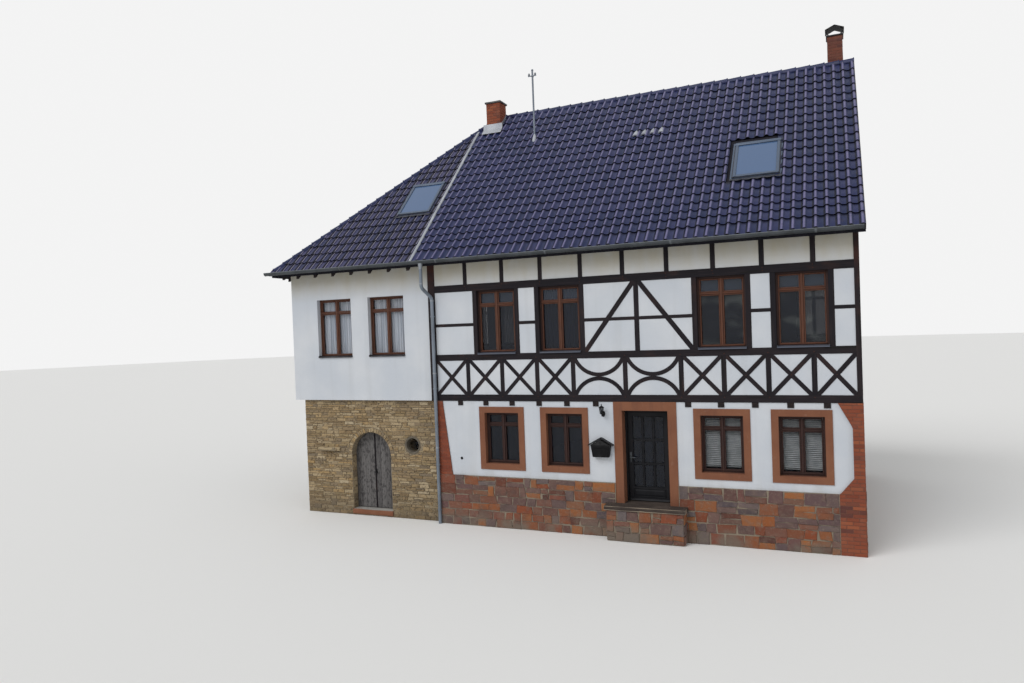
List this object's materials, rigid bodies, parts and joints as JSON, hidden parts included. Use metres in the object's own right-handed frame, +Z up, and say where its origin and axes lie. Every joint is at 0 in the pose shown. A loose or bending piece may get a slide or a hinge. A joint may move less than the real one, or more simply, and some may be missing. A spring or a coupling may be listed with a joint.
{
  "type": "half timbered house",
  "caption": "Two-storey half timbered house with a plastered wing over a stone cellar, under one hipped tiled roof, with hinged front and cellar doors.",
  "frame": {"origin": "on the ground, under the middle of the whole object's box in plan", "axes": "+X right along the front, +Y from the front to the back, +Z up"},
  "size_m": [15.54, 10.22, 12.8704],
  "materials": {
    "rubble": "rough, split",
    "limewash": "matt plaster",
    "brick": "matt",
    "sandstone": "matt, tooled",
    "step_stone": "worn",
    "concrete": "matt",
    "floor_timber": "plain",
    "dark_timber": "matt stain",
    "cellar_stone": "rough, coursed rubble",
    "roof_tile": "glazed dark",
    "zinc": "weathered zinc",
    "skylight_metal": "coated",
    "cap_metal": "matt",
    "window_wood": "satin stain",
    "sill_metal": "satin",
    "window_pane": "clear",
    "black_metal": "satin",
    "door_paint": "satin paint",
    "grey_oak": "weathered",
    "hinge_iron": "rusty"
  },
  "bodies": {
    "house": {"plinth": "rubble", "ground_wall_left": "limewash", "ground_wall_right": "limewash", "ground_gable_wall": "limewash", "ground_back_wall": "limewash", "ground_cross_wall": "limewash", "brick_corner_right": "brick", "brick_pier_left": "brick", "window_surrounds": "sandstone", "door_jambs": "sandstone", "door_lintel": "sandstone", "door_sill": "step_stone", "door_step": "step_stone", "ground_floor": "concrete", "floor_joists": "dark_timber", "upper_floor": "floor_timber", "attic_floor": "floor_timber", "front_frame": "dark_timber", "front_infill": "limewash", "gable_frame": "dark_timber", "gable_infill": "limewash", "back_frame": "dark_timber", "back_infill": "limewash", "stone_wall_left": "cellar_stone", "stone_wall_right": "cellar_stone", "stone_wall_over_arch": "cellar_stone", "stone_side_wall": "cellar_stone", "stone_back_wall": "cellar_stone", "cellar_floor": "concrete", "wing_front_wall": "limewash", "wing_side_wall": "limewash", "wing_back_wall": "limewash", "roof_front": "roof_tile", "roof_back": "roof_tile", "roof_hip": "roof_tile", "rafter_tails": "dark_timber", "ridge_caps": "roof_tile", "gutters": "zinc", "downpipe": "zinc", "skylights": "skylight_metal", "chimney_stacks": "brick", "chimney_caps": "cap_metal", "roof_metalwork": "zinc", "aerial_mast": "zinc", "ground_window_frames": "window_wood", "upper_window_frames": "window_wood", "window_sills": "sill_metal", "window_glass": "window_pane", "lamp": "black_metal", "letter_box": "black_metal", "door_frame": "door_paint", "cellar_pins": "hinge_iron"},
    "front_door": {"front_door": "door_paint"},
    "cellar_door_left": {"cellar_door_left": "grey_oak"},
    "cellar_door_right": {"cellar_door_right": "grey_oak"}
  },
  "joints": [
    {"name": "front_door_hinge", "type": "hinge", "parent": "house", "child": "front_door", "pos_m": [3.4862, -4.2207, 1.825], "axis": [0, 0, -1], "range_deg": [0, 90]},
    {"name": "cellar_left_hinge", "type": "hinge", "parent": "house", "child": "cellar_door_left", "pos_m": [-5.478, -4.1937, 1], "axis": [0, 0, 1], "range_deg": [0, 90]},
    {"name": "cellar_right_hinge", "type": "hinge", "parent": "house", "child": "cellar_door_right", "pos_m": [-4.102, -4.1937, 1], "axis": [0, 0, -1], "range_deg": [0, 90]}
  ]
}
